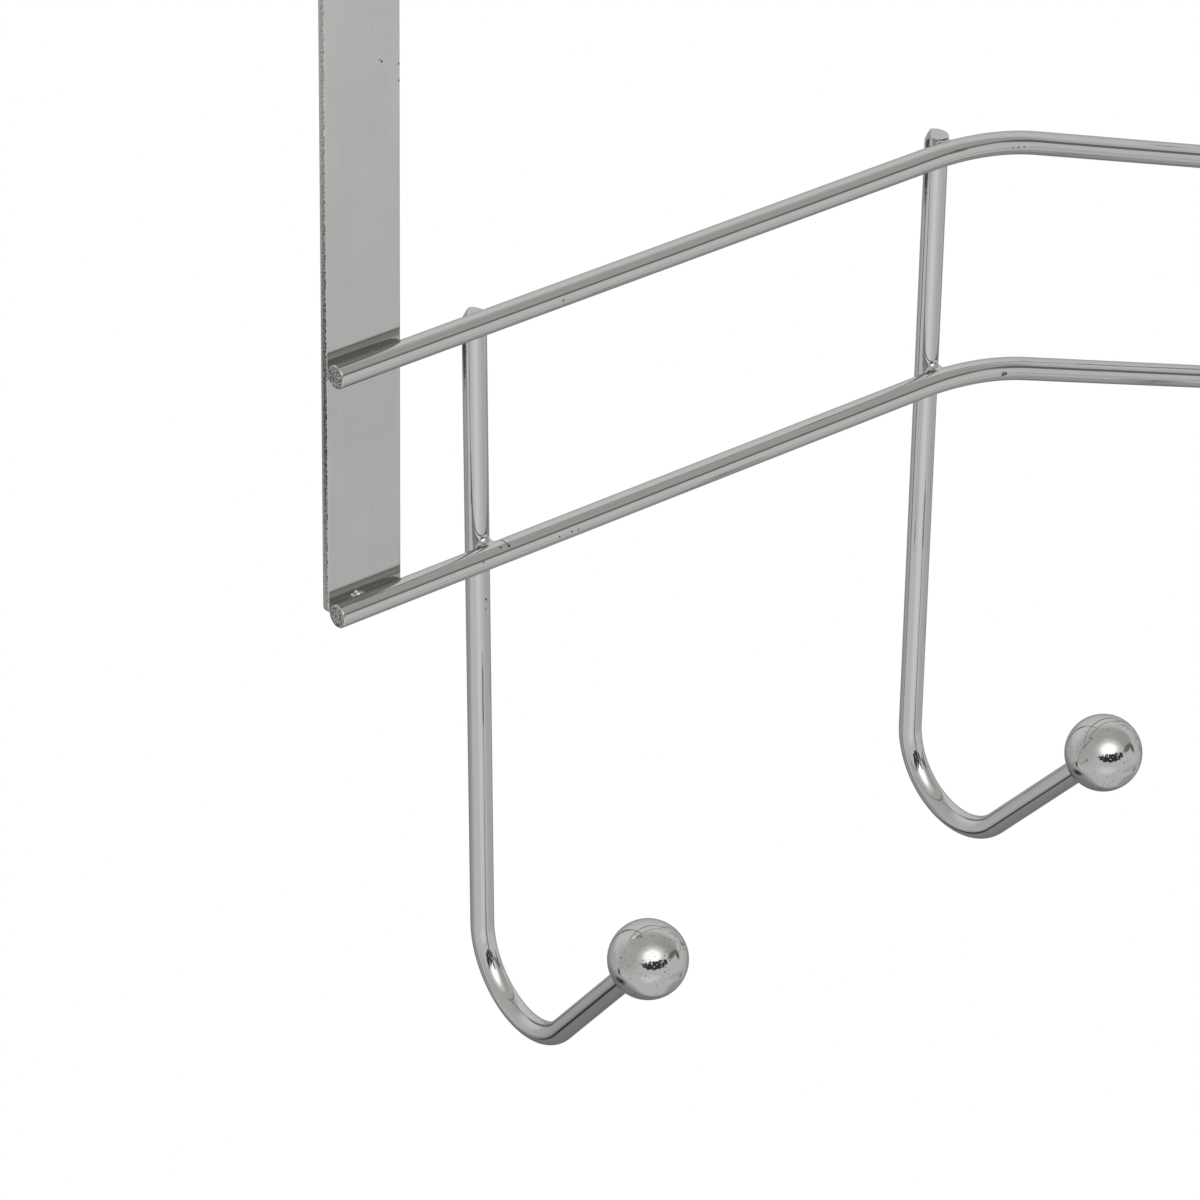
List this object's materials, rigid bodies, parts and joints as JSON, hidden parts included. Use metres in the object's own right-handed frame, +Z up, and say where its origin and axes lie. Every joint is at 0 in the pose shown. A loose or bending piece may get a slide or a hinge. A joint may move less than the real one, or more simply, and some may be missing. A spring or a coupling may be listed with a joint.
{
  "type": "over door hook",
  "caption": "Chromed wire rack that hangs over a door by folded straps, with ball-tipped coat hooks along two parallel rails that dip in the middle.",
  "frame": {"origin": "middle of the rack's width, on the door's front face at its top edge, where the straps' folds sit", "axes": "+X to the right along the door, +Y into the door, +Z up"},
  "size_m": [0.62, 0.1189, 0.331],
  "materials": {
    "strip_chrome": "chrome plating over rolled steel strip, bright but slightly satin",
    "wire_chrome": "bright chrome plating over drawn steel wire, with a few pits and rust specks",
    "ball_chrome": "polished chrome plating, mirror bright"
  },
  "bodies": {
    "root": {"strap_left": "strip_chrome", "strap_right": "strip_chrome", "upper_rail": "wire_chrome", "lower_rail": "wire_chrome", "hook_1": "wire_chrome", "hook_2": "wire_chrome", "hook_3": "wire_chrome", "hook_4": "wire_chrome", "hook_5": "wire_chrome", "ball_1": "ball_chrome", "ball_2": "ball_chrome", "ball_3": "ball_chrome", "ball_4": "ball_chrome", "ball_5": "ball_chrome"}
  },
  "joints": []
}
